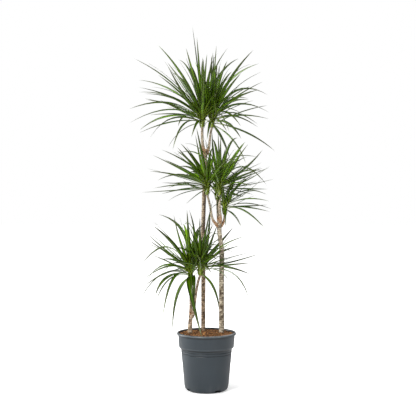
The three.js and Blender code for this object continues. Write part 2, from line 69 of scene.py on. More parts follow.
# Canes and branches in millimetres: [x, y, z, radius] from the foot up, where the frame has them. The last
# station of a branch is the foot of the leaf head that the branch is named for.
CANES = {
    "tall": {
        "stem": [
            [-14, 45, 112, 8.6], [-14, 45, 240, 8.6], [-13.6, 45, 262, 8.9], [-13.5, 44, 330, 8.5],
            [-13, 42, 440, 8.8], [-14, 39, 540, 8.3], [-14.5, 36, 645, 8.6], [-12.5, 33, 710, 8.4],
            [-10.5, 31, 768, 8.5], [-8, 28, 870, 8.2], [-6.5, 25, 946, 8.6], [-6, 25, 966, 9.2],
            [-6, 25, 974, 8.6], [-6, 25, 976, 7],
        ],
        "branches": {
            "tall_left": [
                [-8, 22, 952, 5.5], [-12.5, 18, 974, 7.2], [-15.5, 16, 992, 6.3], [-17.4, 15, 1014, 5.8],
                [-17.8, 15, 1040, 5.5], [-17.6, 15, 1065, 5.5],
            ],
            "tall_right": [
                [-3, 28, 948, 5.5], [4, 34, 967, 6.6], [10, 38, 984, 5.7], [13, 40, 1014, 5],
                [17, 40, 1044, 4.8], [22, 40, 1067, 4.8],
            ],
        },
    },
    "medium": {
        "stem": [
            [61, 4, 112, 10.6], [61, 4, 240, 10.6], [61, 4, 256, 11.1], [61, 4, 330, 10.5],
            [61, 4, 443, 10.2], [62.3, 3, 540, 9.8], [61.5, 3, 568, 9.7], [58.5, 2, 591, 9.4],
            [54.5, 2, 614, 9.2], [52, 1, 642, 9.3], [51.5, 0, 664, 9.8], [52, 0, 680, 10],
            [52, 0, 686, 9.4], [52, 0, 688, 7.5],
        ],
        "branches": {
            "medium_left": [
                [45, -3, 658, 6], [37, -8, 673, 7], [27, -14, 684, 6], [21, -18, 700, 5.2],
                [15.5, -22, 738, 4.6], [8, -24, 770, 4.6], [2, -25, 789, 4.8],
            ],
            "medium_middle": [
                [53, -3, 670, 6], [57, -8, 690, 6.3], [54, -12, 719, 5.6], [51.5, -14, 748, 5.2],
                [53.5, -15, 772, 5.2], [54, -15, 787, 5.2],
            ],
            "medium_back": [
                [50, 6, 668, 5], [47, 16, 696, 5.2], [44.5, 30, 733, 4.3], [44, 42, 756, 4.3],
                [44, 45, 770, 4.4],
            ],
            "medium_right": [
                [58, 4, 656, 5.4], [67, 7, 673, 5.6], [73, 9, 690, 4.7], [74, 10, 711, 4.5],
            ],
        },
    },
    "short": {
        "stem": [
            [-67, -8, 112, 9.2], [-67, -8, 240, 9.2], [-66.4, -8, 262, 9], [-64.5, -8, 288, 8.3],
            [-63.5, -8, 303, 8], [-63.3, -8, 309, 7.8], [-63, -8, 311, 6.2],
        ],
        "branches": {
            "short_left": [
                [-64, -4, 294, 5.4], [-64, 0, 314, 6.5], [-63.7, -2, 340, 5.8], [-64, -4, 380, 5.4],
                [-64.8, -5, 425, 5.4], [-65, -5, 448, 5.4],
            ],
            "short_right": [
                [-58, -12, 290, 5.4], [-52.5, -17, 316, 6.7], [-48.5, -22, 345, 5.8], [-45.5, -27, 372, 5.9],
                [-40.5, -31, 404, 5.2], [-33, -34, 442, 5.2], [-25, -35, 467, 5.2],
            ],
        },
    },
}

GROOVES = (0.158, 0.148)  # heights of the pot's two ring grooves

# The wall of the soil in metres, from the floor up: (radius, height), a little inside the pot's.
SOIL_WALL = [(0.0660, 0.0033), (0.0800, 0.018), (0.0870, 0.024), (0.1008, 0.1684), (0.1088, 0.1757)]

# A blade from its root to its tip: how far along a ring stands, and how wide it is there.
BLADE_OUTLINE = [
    (0, 0.62), (0.06, 0.70), (0.13, 0.92), (0.21, 1.09), (0.3, 1.14), (0.4, 1.08), (0.5, 0.97), (0.6, 0.83),
    (0.71, 0.66), (0.82, 0.46), (0.92, 0.25), (1, 0),
]
# A cut across a blade, anticlockwise seen from its tip: how far to the side and how high, of its width.
BLADE_SECTION = [(0.27, -0.02), (0, -0.06), (-0.27, -0.02), (-0.5, 0.05), (0, -0.14), (0.5, 0.05)]
RIB = 4  # the place of the rib on the underside, in that list
CAD_RINGS = 5  # rings of a blade in the frame, evenly spaced along it
# The widths of those rings, of the blade's own width.
CAD_WIDTHS = [(0.2, 1), (0.4, 0.95), (0.6, 0.76), (0.8, 0.48)]


# ---------- settings


def length(name, description, default):
    return FloatProperty(
        name=name,
        description=description,
        default=default,
        min=0,
        precision=4,
        unit="LENGTH",
        subtype="DISTANCE",
    )


def colour(name, description, default):
    return FloatVectorProperty(
        name=name, description=description, default=default, size=3, min=0, max=1, subtype="COLOR"
    )


def share(name, description, default):
    return FloatProperty(name=name, description=description, default=default, min=0, max=1, subtype="FACTOR")


def count(name, description, default):
    return IntProperty(name=name, description=description, default=default, min=0)


class PotSettings(PropertyGroup):
    """Sizes and colours of the nursery pot"""

    height: length("Height", "From the floor to the top of the lip", POT_TOP.z)
    lip_radius: length("Lip radius", "Outer radius of the rolled lip", POT_TOP.x)
    lip_depth: length("Lip depth", "Height of the lip", 0.009)
    collar_top: length("Collar top", "Radius of the collar under the lip", 0.1155)
    collar_foot: length("Collar foot", "Radius of the collar at its lower edge", 0.1115)
    collar_height: length("Collar height", "Height of the collar's lower edge", 0.173)
    step_radius: length("Step radius", "Radius of the wall under the collar", 0.1035)
    step_height: length("Step height", "Height where the wall starts under the collar", 0.166)
    groove_depth: length("Groove depth", "Depth of the two ring grooves", 0.0017)
    lower_radius: length("Lower radius", "Radius of the wall at its lower edge", 0.0895)
    lower_height: length("Lower height", "Height where the wall starts to turn under", 0.020)
    corner_radius: length("Corner radius", "Radius half way under", 0.086)
    foot_radius: length("Foot radius", "Radius of the flat foot", 0.077)
    wall: length("Wall", "Thickness of the plastic", 0.0024)
    plastic: colour("Plastic", "Colour of the plastic", (0.0212, 0.0305, 0.0388))
    dust: colour("Dust", "Colour of the dust on the plastic", (0.20, 0.20, 0.19))
    # painted shade: the colour of the dark bands under the lip and collar and in the grooves
    recess_shade: colour("Painted_shade", "Colour of the grime under the lip and collar", (0.006, 0.008, 0.009))
    # partly painted highlight: the lighter colour of the rubbed lip and of the collar's lower edge, partly
    # wear
    scuff_and_highlight: colour("Scuff_and_highlight", "Colour of the scuffed lip", (0.115, 0.128, 0.134))


class SoilSettings(PropertyGroup):
    """Sizes and colours of the potting soil"""

    radius: length("Radius", "Radius of the soil's surface", SOIL_TOP.x - 0.0002)
    edge_height: length("Edge height", "Height of the soil at the pot's wall", 0.225)
    crown_height: length("Crown height", "Height of the soil in the middle", 0.230)
    chips: count("Chips", "Loose pieces of coco and bark", 1000)
    fibres: count("Fibres", "Loose fibres", 160)
    dark: colour("Dark", "Colour of the damp peat", (0.055, 0.026, 0.014))
    light: colour("Light", "Colour of the dry coco", (0.66, 0.315, 0.112))
    # painted shade: the near-black colour of the soil deep in the pot, where it shows through the drainage
    # slots
    depth_shade: colour("Depth_shade", "Colour of the wet soil in the depth of the pot", (0.006, 0.004, 0.003))


class CaneSettings(PropertyGroup):
    """Sizes and colours of the canes and branches"""

    scar_height: length("Scar height", "How far a leaf scar stands out", 0.00045)
    scar_pitch: length("Scar pitch", "Height of one row of leaf scars", 0.0085)
    bark: colour("Bark", "Colour of warm brown bark", (0.42, 0.28, 0.172))
    grey: colour("Grey bark", "Colour of weathered bark", (0.24, 0.205, 0.143))
    scar: colour("Scar", "Colour of the leaf scars and dark flakes", (0.060, 0.038, 0.024))
    pale: colour("Pale", "Colour of the whitish patches", (0.74, 0.66, 0.51))
    # painted shade: the colour of the darkened side of the tall cane
    side_shade: colour("Side_shade", "Colour of a damp side of a cane", (0.070, 0.040, 0.030))
    collar: colour("Collar", "Colour of the bark where a branch breaks out", (0.40, 0.165, 0.048))


class LeafSettings(PropertyGroup):
    """Sizes and colours of the leaves"""

    core: length("Shoot", "Height of the shoot that carries a head", 0.060)
    young: count("Young leaves", "Short leaves in the heart of a head", 12)
    sheaths: count("Sheaths", "Leaf bases that wrap each shoot", 18)
    dark: colour("Dark", "Colour of a grown blade", (0.006, 0.029, 0.0001))
    light: colour("Light", "Colour of a blade that is not yet dark", (0.175, 0.360, 0.002))
    base: colour("Base", "Colour of the leaf bases", (0.24, 0.31, 0.03))
    under: colour("Underside", "Colour of the underside", (0.062, 0.112, 0.008))
    margin: colour("Margin", "Colour of the thin reddish margin", (0.026, 0.018, 0.003))
    tip: colour("Tip", "Colour towards the tip", (0.052, 0.063, 0.014))
    dry: colour("Dry tip", "Colour towards the tip of an old blade that hangs", (0.17, 0.20, 0.10))


class StudioSettings(PropertyGroup):
    """Camera, light and floor"""

    distance: length("Distance", "From the camera to the pot's axis", 3.120)
    height: length("Height", "Height of the camera", 0.735)
    aside: length("Aside", "How far the camera stands to the right", 0.006)
    lens: FloatProperty(name="Lens", description="Focal length in millimetres", default=66.6, min=1)
    side_light: share("Side light", "Light of the surround from the sides", 0.12)
    sky_light: share("Sky light", "Light of the surround from above", 0.5)
    floor_glow: share("Floor glow", "How much whiter the floor looks than its light makes it", 0.38)


class DracaenaSettings(PropertyGroup):
    """All settings of the potted dracaena"""

    pot: PointerProperty(type=PotSettings)
    soil: PointerProperty(type=SoilSettings)
    canes: PointerProperty(type=CaneSettings)
    leaves: PointerProperty(type=LeafSettings)
    studio: PointerProperty(type=StudioSettings)


# ---------- finishes


class Finish:
    """A material while it is put together."""

    def __init__(self, name, roughness):
        self.material = bpy.data.materials.new(name)
        self.material.use_nodes = True
        self.tree = self.material.node_tree
        self.shader = self.tree.nodes["Principled BSDF"]
        self.surface("Roughness", roughness)

    def put(self, made, socket, value):
        """Links a socket into a node's input, or sets the input itself."""
        target = made.inputs[socket]
        if isinstance(value, bpy.types.NodeSocket):
            self.tree.links.new(value, target)
        elif target.type == "RGBA":
            target.default_value = (*value, 1)
        else:
            target.default_value = value

    def surface(self, socket, value):
        """Sets an input of the shader itself."""
        self.put(self.shader, socket, value)

    def add(self, kind, inputs, output=0, **settings):
        """Adds a shader node and gives back one of its outputs."""
        made = self.tree.nodes.new("ShaderNode" + kind)
        for name, value in settings.items():
            setattr(made, name, value)
        for socket, value in inputs.items():
            self.put(made, socket, value)
        return made.outputs[output]

    def place(self, scale=(1, 1, 1), shift=(0, 0, 0)):
        """Object coordinates, stretched and shifted."""
        here = self.add("TexCoord", {}, output=3)
        return self.add("Mapping", {"Vector": here, "Location": shift, "Scale": scale})

    def stored(self, name):
        """A value kept at the piece's vertices."""
        return self.add("Attribute", {}, output=2, attribute_name=name)

    def split(self, vector, axis):
        return self.add("SeparateXYZ", {"Vector": vector}, output=axis)

    def noise(self, vector, scale, detail=3.0, roughness=0.55):
        inputs = {"Vector": vector, "Scale": scale, "Detail": detail, "Roughness": roughness}
        return self.add("TexNoise", inputs)

    def fade(self, value, start, end, low=0.0, high=1.0):
        """A value that goes smoothly from low at start to high at end."""
        inputs = {"Value": value, "From Min": start, "From Max": end, "To Min": low, "To Max": high}
        return self.add("MapRange", inputs, interpolation_type="SMOOTHSTEP")

    def sum(self, operation, one, other=0.0):
        """One sum of two values; the operation is the name of a Math node's."""
        return self.add("Math", {0: one, 1: other}, operation=operation)

    def times(self, one, other):
        return self.sum("MULTIPLY", one, other)

    def mix(self, amount, one, other):
        return self.add("Mix", {0: amount, 6: one, 7: other}, output=2, data_type="RGBA")

    def bump(self, height, strength, distance):
        relief = self.add("Bump", {"Height": height, "Strength": strength, "Distance": distance})
        self.surface("Normal", relief)


def pot_finish(pot):
    """Satin plastic with a faint grain, soft streaks, scuffs with a painted highlight on the lip and collar
    edge, and painted shade under the lip and collar and in the grooves.
    """
    finish = Finish("Pot plastic", 0.42)
    here = finish.place()
    height = finish.split(here, 2)
    cloud = finish.noise(here, 9, 4)
    streaks = finish.noise(finish.place((26, 26, 3)), 1, 3)
    grain = finish.noise(here, 900, 2)
    scuffs = finish.noise(finish.place((1, 1, 3)), 60, 3)

    def band(low, high):
        rising = finish.fade(height, low - 0.0012, low)
        return finish.times(rising, finish.fade(height, high + 0.0012, high))

    lighter = tuple(1.25 * value for value in pot.plastic)
    tint = finish.mix(finish.fade(cloud, 0.35, 0.7, 0, 0.5), pot.plastic, lighter)
    low = finish.fade(height, 0.05, 0.0)
    dusty = finish.times(low, finish.fade(streaks, 0.4, 0.65))
    dusty = finish.sum("ADD", dusty, finish.fade(streaks, 0.6, 0.8, 0, 0.2))
    tint = finish.mix(finish.times(dusty, 0.15), tint, pot.dust)
    # Painted shade: darker bands under the lip, under the collar and in the two grooves.
    lip_foot = pot.height - pot.lip_depth
    shade_under_lip = band(lip_foot - 0.004, lip_foot)
    shade_under_collar = band(pot.step_height, pot.collar_height - 0.001)
    recess_shading = finish.sum("MAXIMUM", shade_under_lip, shade_under_collar)
    for groove in GROOVES:
        recess_shading = finish.sum("MAXIMUM", recess_shading, band(groove + 0.0012, groove + 0.0025))
    tint = finish.mix(finish.times(recess_shading, 0.7), tint, pot.recess_shade)
    # Painted highlight round the lip and along the collar's lower edge, broken up like scuffs; partly wear.
    # These edges are also glossier.
    collar_edge_highlight = finish.times(0.3, band(pot.collar_height + 0.0015, pot.collar_height + 0.0045))
    edges = finish.sum("MAXIMUM", band(pot.height - 0.0045, pot.height + 0.01), collar_edge_highlight)
    scuffed_and_lit = finish.times(edges, finish.fade(scuffs, 0.3, 0.6, 0.5, 1))
    tint = finish.mix(scuffed_and_lit, tint, pot.scuff_and_highlight)
    finish.surface("Base Color", tint)
    rough = finish.fade(cloud, 0.3, 0.7, 0.36, 0.5)
    finish.surface("Roughness", finish.sum("SUBTRACT", rough, finish.times(edges, 0.12)))
    finish.bump(grain, 0.12, 0.0004)
    return finish.material


def soil_finish(soil, name, loose):
    """Crumbly peat and coco: every crumb has its own brown, with painted shade deeper in the pot."""
    finish = Finish(name, 0.95)
    here = finish.place()
    crumbs = finish.noise(here, 330, 4, 0.7)
    patches = finish.noise(here, 110, 3)
    if loose:
        amount = finish.times(finish.stored("tone"), finish.fade(crumbs, 0.3, 0.7, 0.6, 1))
    else:
        amount = finish.times(finish.fade(patches, 0.35, 0.7), finish.fade(crumbs, 0.35, 0.7))
    brown = finish.mix(amount, soil.dark, soil.light)
    # Painted shade: the soil turns near-black deeper in the pot, where it is seen through the drainage slots.
    depth = finish.fade(finish.split(here, 2), 0.19, 0.12, 0, 0.9)
    finish.surface("Base Color", finish.mix(depth, brown, soil.depth_shade))
    finish.surface("Specular IOR Level", 0.2)
    finish.bump(crumbs, 0.6, 0.0012)
    return finish.material


def bark_finish(canes):
    """Dry bark with crescent leaf scars, dark and pale flakes, rusty collars where branches break out, and
    painted shade down one side of a cane.
    """
    finish = Finish("Cane bark", 0.85)
    here = finish.place()
    warm = finish.stored("warm")
    shade = finish.stored("shade")
    pale = finish.stored("pale")
    fine = finish.noise(here, 800, 3, 0.6)
    light_flakes = finish.noise(finish.place((1, 1, 1.6)), 85, 7, 0.68)
    dark_flakes = finish.noise(finish.place((1, 1, 1.6), (3, 5, 7)), 75, 7, 0.68)
    bark = finish.mix(warm, canes.grey, canes.bark)
    bark = finish.mix(pale, bark, canes.pale)
    sunlit = tuple(1.5 * value for value in canes.bark)
    light = finish.mix(finish.times(warm, 0.6), canes.pale, sunlit)
    bark = finish.mix(finish.fade(light_flakes, 0.51, 0.57), bark, light)
    bark = finish.mix(finish.fade(shade, 0.65, 0.9, 0, 0.6), bark, light)
    bark = finish.mix(finish.fade(shade, 0.1, 0.4, 0.6, 0), bark, canes.scar)
    dark = finish.times(finish.fade(dark_flakes, 0.50, 0.56, 0, 0.97), finish.fade(shade, 0, 0.9, 1, 0.75))
    dark = finish.times(dark, finish.fade(pale, 0, 1, 1, 0.4))
    lined = finish.times(finish.stored("scar"), finish.fade(dark_flakes, 0.36, 0.56, 0.35, 0.9))
    bark = finish.mix(finish.sum("MAXIMUM", dark, lined), bark, canes.scar)
    bark = finish.mix(finish.fade(fine, 0.5, 0.75, 0, 0.3), bark, canes.scar)
    # Painted shade down one side of the tall cane, broken up by the flakes.
    side_shaded = finish.times(finish.stored("side_shade"), finish.fade(light_flakes, 0.3, 0.65, 1, 0.6))
    bark = finish.mix(side_shaded, bark, canes.side_shade)
    rusty = finish.times(finish.stored("collar"), finish.fade(light_flakes, 0.3, 0.6, 1, 0.6))
    bark = finish.mix(rusty, bark, canes.collar)
    finish.surface("Base Color", bark)
    finish.surface("Specular IOR Level", 0.25)
    relief = finish.sum("SUBTRACT", finish.sum("ADD", fine, light_flakes), dark_flakes)
    finish.bump(relief, 0.5, 0.0012)
    return finish.material


def leaf_finish(leaves):
    """A leathery blade: pale at its base, darker with age, with fine veins, a light rib and a red margin."""
    finish = Finish("Leaf", 0.4)
    place = finish.add("UVMap", {}, uv_map="blade")
    sideways = finish.split(place, 0)
    along = finish.split(place, 1)
    across = finish.sum("FRACT", sideways)
    under = finish.sum("FLOOR", sideways)
    edge = finish.times(finish.sum("ABSOLUTE", finish.sum("SUBTRACT", across, 0.5)), 2)
    tone = finish.stored("tone")
    age = finish.stored("age")
    veins = finish.noise(finish.add("Mapping", {"Vector": place, "Scale": (26, 0.7, 1)}), 1, 2)
    mottle = finish.noise(finish.place(), 34, 3)

    dark_share = finish.sum("ADD", finish.fade(tone, 0.2, 0.65), finish.fade(mottle, 0.3, 0.7, -0.15, 0.15))
    dark_share = finish.sum("ADD", dark_share, finish.fade(along, 0.15, 0.6, -0.25, 0.3))
    dark_share = finish.times(dark_share, finish.fade(age, 0, 0.6, 0.15, 1))
    green = finish.mix(dark_share, leaves.light, leaves.dark)
    green = finish.mix(finish.fade(veins, 0.35, 0.65, 0, 0.2), green, leaves.light)
    green = finish.mix(finish.fade(edge, 0.3, 0.05, 0, 0.4), green, leaves.light)
    green = finish.mix(finish.times(under, 0.55), green, leaves.under)
    base = finish.times(finish.fade(along, 0.34, 0.02), finish.fade(age, 1, 1.3, 0.88, 0.2))
    base = finish.sum("MAXIMUM", base, finish.fade(age, -0.2, -0.8, 0, 0.8))
    green = finish.mix(base, green, leaves.base)
    green = finish.mix(finish.fade(edge, 0.6, 0.95, 0, 0.75), green, leaves.margin)
    worn = finish.times(finish.fade(along, 0.45, 0.9, 0, 0.9), finish.fade(tone, 0.03, 0.2))
    dried = finish.times(finish.fade(along, 0.75, 0.95), finish.fade(age, 1, 1.3))
    tip = finish.mix(dried, leaves.tip, leaves.dry)
    green = finish.mix(finish.times(worn, finish.fade(age, 0, 0.3)), green, tip)
    finish.surface("Base Color", green)
    finish.surface("Roughness", finish.fade(veins, 0.3, 0.7, 0.2, 0.32))
    finish.surface("Specular IOR Level", 0.34)
    finish.bump(veins, 0.1, 0.0003)
    return finish.material


# ---------- shapes


def at(table, place):
    """The value at a place in a table of (place, value) in rising order, straight between its entries."""
    for (start, low), (end, high) in zip(table, table[1:]):
        if place <= end:
            return low + (high - low) * max(0, (place - start) / (end - start))
    return table[-1][1]


def between(low, high, amount):
    return low + (high - low) * amount


def clamp(value):
    return max(0, min(1, value))


def parabola(samples, place):
    """The point at a place on the parabola through three samples of (place, point)."""
    point = Vector((0, 0, 0))
    for here, sample in samples:
        weight = 1
        for other, _ in samples:
            if other != here:
                weight *= (place - other) / (here - other)
        point += weight * sample
    return point


def direction(samples, place):
    """The way that the parabola runs at a place on it."""
    step = 0.01
    return (parabola(samples, place + step) - parabola(samples, place - step)).normalized()


def make_piece(name, bm, material, node=None, crease=math.radians(40)):
    """An object of the plant from a bmesh: it rides on the frame and may stand for one of its nodes."""
    for face in bm.faces:
        face.smooth = True
    for edge in bm.edges:
        edge.smooth = edge.calc_face_angle(0) < crease
    mesh = bpy.data.meshes.new(name)
    bm.to_mesh(mesh)
    bm.free()
    mesh.materials.append(material)
    piece = bpy.data.objects.new(name, mesh)
    bpy.context.scene.collection.objects.link(piece)
    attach(piece, "root")
    if node:
        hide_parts(node)
    return piece


def combine(piece, other, how):
    """Joins a bmesh's solid to a piece, or cuts it out of the piece."""
    for face in other.faces:
        face.smooth = True
    mesh = bpy.data.meshes.new("other")
    other.to_mesh(mesh)
    other.free()
    tool = bpy.data.objects.new("other", mesh)
    bpy.context.scene.collection.objects.link(tool)
    modifier = piece.modifiers.new("combine", "BOOLEAN")
    modifier.operation = how
    modifier.object = tool
    graph = bpy.context.evaluated_depsgraph_get()
    made = bpy.data.meshes.new_from_object(piece.evaluated_get(graph))
    piece.modifiers.clear()
    piece.data = made
    bpy.data.objects.remove(tool)


def spun(profile, steps):
    """A closed surface spun about Z from points of (radius, height), which start and end on the axis."""
    bm = bmesh.new()
    points = [bm.verts.new((radius, 0, height)) for radius, height in profile]
    edges = [bm.edges.new(pair) for pair in zip(points, points[1:])]
    bmesh.ops.spin(
        bm, geom=points + edges, cent=(0, 0, 0), axis=(0, 0, 1), angle=math.tau, steps=steps, use_merge=True
    )
    bmesh.ops.remove_doubles(bm, verts=bm.verts, dist=1e-6)
    bmesh.ops.recalc_face_normals(bm, faces=bm.faces)
    return bm


def round_ring(bm, radius, height, size):
    """Rounds the sharp ring at a radius and height of a spun surface."""
    ring = [
        edge
        for edge in bm.edges
        if all(abs(v.co.z - height) < 1e-5 and abs(v.co.xy.length - radius) < 1e-5 for v in edge.verts)
    ]
    bmesh.ops.bevel(bm, geom=ring, offset=size, segments=3, profile=0.5, affect="EDGES", material=-1)


def add_column(bm, sides, spans):
    """Adds an upright column of unit radius and height, closed at both ends and cut across into spans."""
    upright = Matrix.Translation((0, 0, 0.5))
    bmesh.ops.create_cone(bm, cap_ends=True, segments=sides, radius1=1, radius2=1, depth=1, matrix=upright)
    lengthwise = [edge for edge in bm.edges if abs(edge.verts[0].co.z - edge.verts[1].co.z) > 0.5]
    bmesh.ops.subdivide_edges(bm, edges=lengthwise, cuts=spans - 1)


# ---------- pot and soil


def pot_wall(pot, height):
    """Radius of the tapering wall at a height."""
    rising = (height - pot.lower_height) / (pot.step_height - pot.lower_height)
    return between(pot.lower_radius, pot.step_radius, rising)


def build_pot(pot):
    """The pot: a wall spun from its profile, its rings rounded and its drainage slots cut out."""
    floor = 0.003
    corner_height = 0.007
    groove_width = 0.004
    slots = 4
    first_slot = 0.36  # of the way from one slot to the next
    lip_foot = pot.height - pot.lip_depth
    cavity = pot.collar_top - pot.wall
    grooves = []
    for height in GROOVES:
        grooves += [
            (pot_wall(pot, height + groove_width), height + groove_width),
            (pot_wall(pot, height) - pot.groove_depth, height + groove_width / 2),
            (pot_wall(pot, height), height),
        ]
    inside = [
        (0, floor),
        (pot.foot_radius - pot.wall, floor),
        (pot.lower_radius - pot.wall, pot.lower_height),
        (pot.step_radius - pot.wall, pot.step_height + pot.wall),
        (pot.collar_foot - pot.wall, pot.collar_height + pot.wall),
        (cavity, lip_foot),
    ]
    # The rings below have the size of their rounding as a third value.
    rounded = [
        (cavity, pot.height, 0.0012),
        (pot.lip_radius, pot.height, 0.0052),
        (pot.lip_radius, lip_foot, 0.0014),
        (pot.collar_top - 0.0006, lip_foot, 0.0005),
        (pot.collar_foot, pot.collar_height, 0.0024),
        (pot.step_radius + 0.001, pot.step_height + 0.0035, 0.0010),
        (pot.step_radius, pot.step_height, 0.0010),
    ]
    under = [
        (pot.lower_radius, pot.lower_height, 0.006),
        (pot.corner_radius, corner_height, 0.003),
        (pot.foot_radius, 0, 0.0012),
    ]
    profile = inside + [ring[:2] for ring in rounded] + grooves + [ring[:2] for ring in under] + [(0, 0)]
    bm = spun(profile, 144)
    for radius, height, size in rounded + under:
        round_ring(bm, radius, height, size)
    for radius, height in grooves:
        round_ring(bm, radius, height, 0.0006)
    piece = make_piece("pot_shell", bm, pot_finish(pot), "pot")
    for slot in range(slots):
        combine(piece, drain_slot(pot, (slot + first_slot) * math.tau / slots), "DIFFERENCE")


def drain_slot(pot, heading):
    """The solid of one drainage slot, a box with rounded edges half sunk in the floor."""
    bm = bmesh.new()
    size = Matrix.Diagonal((0.030, 0.027, 0.024, 1))
    bmesh.ops.create_cube(bm, size=1, matrix=Matrix.Translation((pot.lower_radius, 0, 0)) @ size)
    bmesh.ops.bevel(bm, geom=bm.edges[:], offset=0.003, segments=3, profile=0.5, affect="EDGES", material=-1)
    bmesh.ops.rotate(bm, verts=bm.verts, cent=(0, 0, 0), matrix=Matrix.Rotation(heading, 3, "Z"))
    return bm


def soil_height(soil, x, y):
    """Height of the soil's surface, heaped a little round the canes."""
    heap, heap_reach = 0.0018, 0.008
    outward = math.hypot(x, y) / soil.radius
    height = between(soil.crown_height, soil.edge_height, outward**2)
    height += 0.0014 * noise.noise(Vector((x, y, 0)) * 55) + 0.0007 * noise.noise(Vector((x, y, 3)) * 190)
    for cane in CANES.values():
        foot_x, foot_y, _, radius = (MM * value for value in cane["stem"][0])
        gap = max(0, math.hypot(x - foot_x, y - foot_y) - radius)
        height += heap * math.exp(-((gap / heap_reach) ** 2))
    return min(height, SOIL_TOP.z)


def build_soil(soil):
    """The bed of soil: it fills the pot, and its top is uneven."""
    rings = 44
    profile = [(0, SOIL_WALL[0][1]), *SOIL_WALL, (soil.radius, soil.edge_height - 0.002)]
    profile += [(soil.radius * ring / rings, soil.edge_height) for ring in range(rings, -1, -1)]
    bm = spun(profile, 120)
    for vertex in bm.verts:
        if vertex.co.z > soil.edge_height - 0.001:
            vertex.co.z = soil_height(soil, vertex.co.x, vertex.co.y)
    make_piece("soil_bed", bm, soil_finish(soil, "Soil", loose=False), "potting_soil")


def add_chip(bm, size, rng):
    """Adds one chip, a small lump knocked out of round."""
    stretch = Matrix.Diagonal((rng.uniform(0.8, 2.2), rng.uniform(0.6, 1.1), rng.uniform(0.35, 0.8), 1))
    lump = bmesh.ops.create_icosphere(bm, subdivisions=1, radius=size, matrix=stretch)["verts"]
    for vertex in lump:
        vertex.co *= rng.uniform(0.65, 1.25)
    return lump


def add_fibre(bm, size, rng):
    """Adds one fibre that lies almost flat and thins out towards one end."""
    laid = Matrix.Rotation(rng.uniform(1.2, 1.6), 4, "Y")
    long = rng.uniform(0.006, 0.018)
    return bmesh.ops.create_cone(
        bm, cap_ends=True, segments=5, radius1=size, radius2=size / 2, depth=long, matrix=laid
    )["verts"]


def strew_chips(soil):
    """The loose chips and fibres on the soil."""
    smallest, spread = 0.0009, 0.0021
    fibre_radius = 0.0004
    clear_of_wall = 0.004
    rng = random.Random(5)
    bm = bmesh.new()
    tone = bm.verts.layers.float.new("tone")
    for number in range(soil.chips + soil.fibres):
        outward = (soil.radius - clear_of_wall) * math.sqrt(rng.random())
        heading = rng.uniform(0, math.tau)
        x, y = outward * math.cos(heading), outward * math.sin(heading)
        if number < soil.chips:
            size = smallest + spread * rng.random() ** 2
            shape = add_chip(bm, size, rng)
        else:
            size = fibre_radius
            shape = add_fibre(bm, size, rng)
        turn = Matrix.Rotation(rng.uniform(0, math.tau), 3, "Z")
        tilt = Matrix.Rotation(rng.uniform(-0.4, 0.4), 3, "X")
        bmesh.ops.rotate(bm, verts=shape, cent=(0, 0, 0), matrix=turn @ tilt)
        bmesh.ops.translate(bm, verts=shape, vec=(x, y, soil_height(soil, x, y) + 0.3 * size))
        amount = rng.random() ** 1.3
        for vertex in shape:
            vertex[tone] = amount
    make_piece("soil_chips", bm, soil_finish(soil, "Soil chips", loose=True))


# ---------- canes


def smooth_limb(stations):
    """Centre and radius of a limb by the length along it, with the corners at its stations eased."""
    table = []
    run = 0
    last = None
    for x, y, z, radius in stations:
        centre = MM * Vector((x, y, z))
        run += (centre - last).length if last else 0
        table.append((run, Vector((*centre, MM * radius))))
        last = centre
    ease = 0.007

    def station(along):
        near = min(ease, along, run - along)
        return (at(table, along - near) + 2 * at(table, along) + at(table, along + near)) / 4

    return run, station


def bark_layers(bm):
    """The values that the bark finish reads: scars, shades, warm and whitish bark, painted side shade, and
    collars.
    """
    layers = {}
    for name in ("scar", "shade", "warm", "pale", "side_shade", "collar"):
        layers[name] = bm.verts.layers.float.get(name) or bm.verts.layers.float.new(name)
    return layers


def leaf_scar(pitch, around, along):
    """How high a fallen leaf's crescent stands at a place on the bark, and a shade drawn for that leaf."""
    leaves_round = 5
    wobble = 0.25 * noise.noise(Vector((4 * around, 90 * along, 0)))
    row = math.floor(along / pitch + wobble)
    up = along / pitch + wobble - row - 0.5
    column = around * leaves_round + 0.5 * (row % 2)
    across = column % 1 - 0.5
    ridge = 1.3 * across**2 - 0.32
    height = math.exp(-(((up - ridge) / 0.17) ** 2))
    leaf = row + (1 if up > ridge else 0)
    shade = 0.5 + 0.5 * noise.cell(Vector((leaf + 0.5, math.floor(column) % leaves_round + 0.5, 0.5)))
    return height, shade


